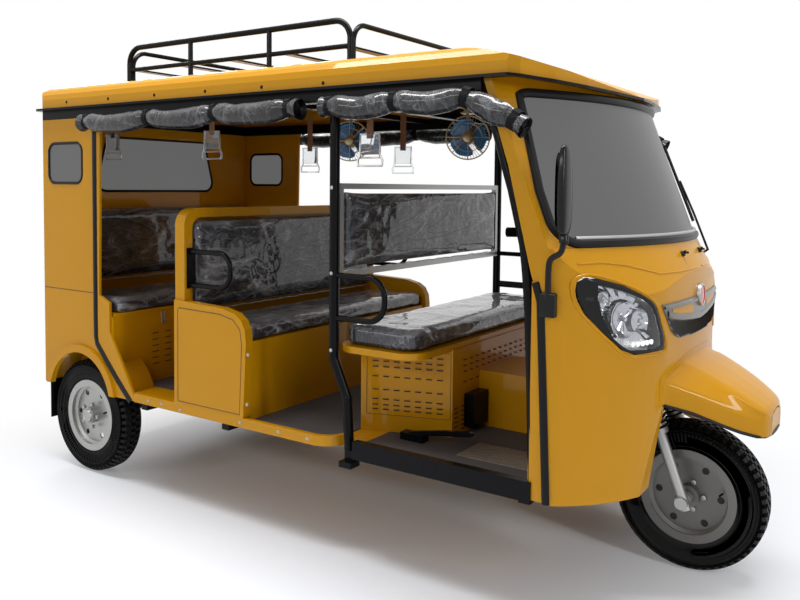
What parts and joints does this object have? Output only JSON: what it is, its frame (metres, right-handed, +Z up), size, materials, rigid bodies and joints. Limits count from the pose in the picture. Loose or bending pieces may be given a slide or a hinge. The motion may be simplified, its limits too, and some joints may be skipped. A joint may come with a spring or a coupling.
{
  "type": "auto rickshaw",
  "caption": "A passenger auto rickshaw on three wheels with open sides, forward-facing benches, a bar-steered front wheel, rolled side curtains and a roof rack.",
  "frame": {"origin": "on the ground under the middle of the bounding box", "axes": "+X forwards along the length, +Y to the vehicle's left, +Z up"},
  "size_m": [3.275, 1.572, 2.0505],
  "materials": {
    "body_paint": "glossy yellow enamel",
    "black_frame": "satin black enamel",
    "bare_steel": "dull silver",
    "axle_iron": "dark and dusty",
    "tyre_rubber": "dull black",
    "mat_rubber": "matt grey, dusty",
    "window_glass": "clear, slightly grey",
    "lamp_lens": "clear",
    "red_lens": "glossy red",
    "grille_plastic": "satin grey",
    "black_plastic": "satin black",
    "seat_vinyl": "dark grey vinyl under clear film",
    "curtain_sheet": "rolled dark vinyl sheet",
    "fan_wire": "dull brassy wire",
    "fan_blade": "glossy blue"
  },
  "bodies": {
    "vehicle": {"chassis_frame": "black_frame", "floor_pan": "body_paint", "floor_mats": "mat_rubber", "driver_sills": "black_frame", "right_quarter": "body_paint", "left_quarter": "body_paint", "rear_wall": "body_paint", "window_glass": "window_glass", "roof_shell": "body_paint", "roof_rails": "black_frame", "roof_rack": "black_frame", "pillar_tubes": "black_frame", "hand_rails": "black_frame", "front_cowl": "body_paint", "windscreen": "window_glass", "headlamps": "lamp_lens", "grille": "grille_plastic", "firewall": "body_paint", "front_mudguard": "body_paint", "rear_axle": "axle_iron", "leaf_springs": "axle_iron", "engine_block": "axle_iron", "driver_seat_box": "body_paint", "driver_cushion": "seat_vinyl", "driver_backrest": "bare_steel", "driver_back_pad": "seat_vinyl", "middle_bench": "body_paint", "middle_cushion": "seat_vinyl", "middle_back_pad": "seat_vinyl", "rear_bench": "body_paint", "rear_back_pad": "seat_vinyl", "fan_guards": "fan_wire", "curtain_rolls": "curtain_sheet", "door_mirror": "black_plastic", "wiper": "black_plastic", "brake_lever": "black_frame", "tail_lamps": "red_lens"},
    "steering": {"front_fork": "bare_steel", "handlebar": "black_frame", "front_axle": "bare_steel"},
    "front_wheel": {"front_rim": "bare_steel", "front_tyre": "tyre_rubber"},
    "right_rear_wheel": {"right_rear_rim": "bare_steel", "right_rear_tyre": "tyre_rubber"},
    "left_rear_wheel": {"left_rear_rim": "bare_steel", "left_rear_tyre": "tyre_rubber"},
    "front_fan": {"front_fan_rotor": "fan_blade"},
    "rear_fan": {"rear_fan_rotor": "fan_blade"},
    "seat_lid": {"rear_seat_lid": "body_paint", "rear_cushion": "seat_vinyl"}
  },
  "joints": [
    {"name": "steering_turn", "type": "hinge", "parent": "vehicle", "child": "steering", "pos_m": [1.3575, 0, 0.27], "axis": [-0.342, 0, 0.9397], "range_deg": [-40, 40]},
    {"name": "front_wheel_spin", "type": "hinge", "parent": "steering", "child": "front_wheel", "pos_m": [1.3575, 0, 0.27], "axis": [0, 1, 0], "continuous": true},
    {"name": "right_rear_wheel_spin", "type": "hinge", "parent": "vehicle", "child": "right_rear_wheel", "pos_m": [-1.2925, -0.622, 0.27], "axis": [0, 1, 0], "continuous": true},
    {"name": "left_rear_wheel_spin", "type": "hinge", "parent": "vehicle", "child": "left_rear_wheel", "pos_m": [-1.2925, 0.622, 0.27], "axis": [0, 1, 0], "continuous": true},
    {"name": "front_fan_spin", "type": "hinge", "parent": "vehicle", "child": "front_fan", "pos_m": [0.3975, 0, 1.598], "axis": [0.5299, -0.848, 0], "continuous": true},
    {"name": "rear_fan_spin", "type": "hinge", "parent": "vehicle", "child": "rear_fan", "pos_m": [-0.2355, 0, 1.598], "axis": [0.5299, -0.848, 0], "continuous": true},
    {"name": "seat_lid_hinge", "type": "hinge", "parent": "vehicle", "child": "seat_lid", "pos_m": [-1.4775, 0, 0.7775], "axis": [0, -1, 0], "range_deg": [0, 60]}
  ]
}
